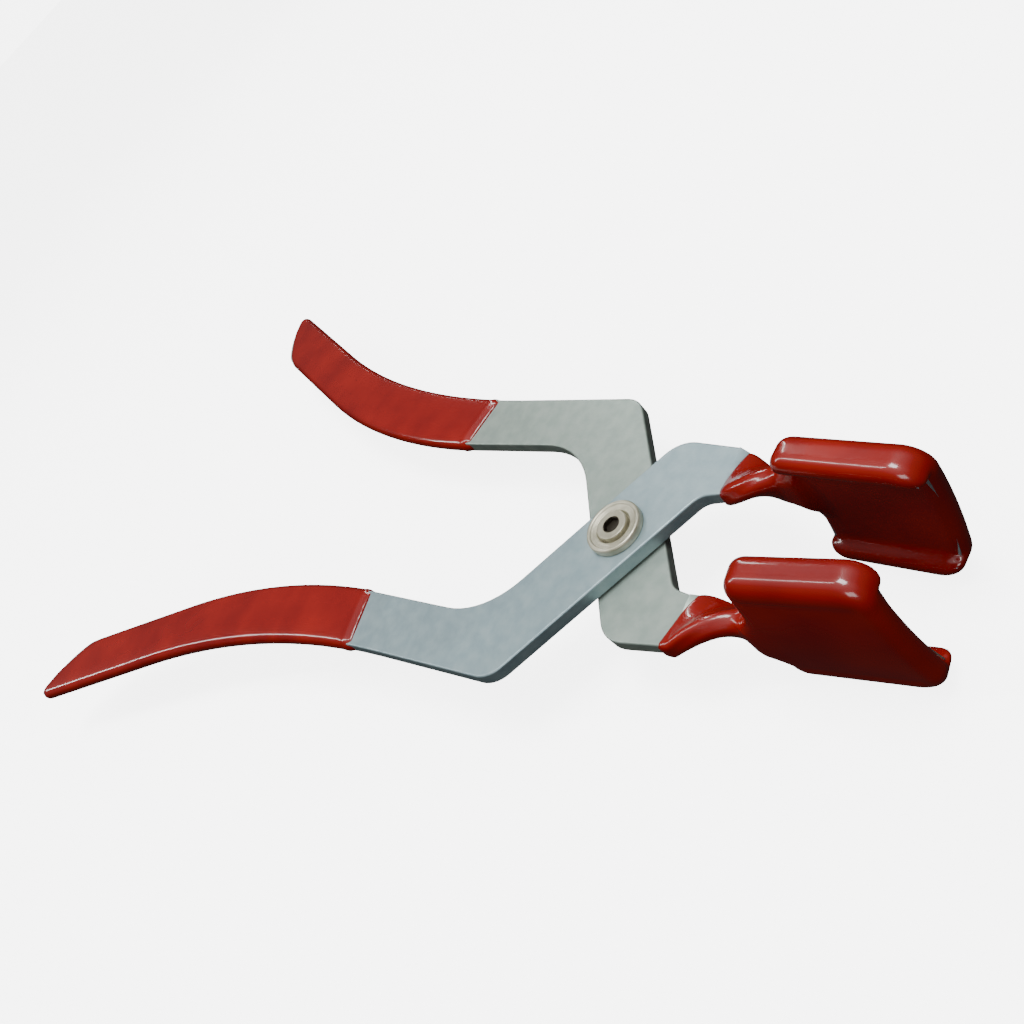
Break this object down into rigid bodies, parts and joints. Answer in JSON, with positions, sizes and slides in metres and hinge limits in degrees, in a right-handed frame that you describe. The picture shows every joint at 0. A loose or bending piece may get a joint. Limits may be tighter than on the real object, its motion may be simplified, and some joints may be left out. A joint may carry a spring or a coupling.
{
  "type": "hand clamp",
  "caption": "Hand clamp of two crossed flat steel levers on one pivot, with dipped curved handles and wide padded channel jaws.",
  "frame": {"origin": "on the pivot axis, midway between the two levers", "axes": "+X along the tool from the pivot to the jaws, +Z along the pivot axis towards the screw head, +Y across the tool"},
  "size_m": [0.338, 0.2028, 0.0404],
  "materials": {
    "front_steel": "satin zinc plate",
    "rear_steel": "satin zinc plate",
    "vinyl": "glossy dipped vinyl",
    "fastener": "satin zinc plate",
    "nylon": "matte"
  },
  "bodies": {
    "front": {"front_lever": "front_steel", "front_handle_grip": "vinyl", "front_jaw_sleeve": "vinyl", "pivot_screw": "fastener", "dished_washer": "fastener", "spacer_washer": "fastener", "back_washer": "fastener", "lock_nut": "fastener", "nut_insert": "nylon"},
    "rear": {"rear_lever": "rear_steel", "rear_handle_grip": "vinyl", "rear_jaw_sleeve": "vinyl"}
  },
  "joints": [
    {"name": "pivot", "type": "hinge", "parent": "front", "child": "rear", "pos_m": [0, 0, 0], "axis": [0, 0, 1], "range_deg": [-58, 11.2]}
  ]
}
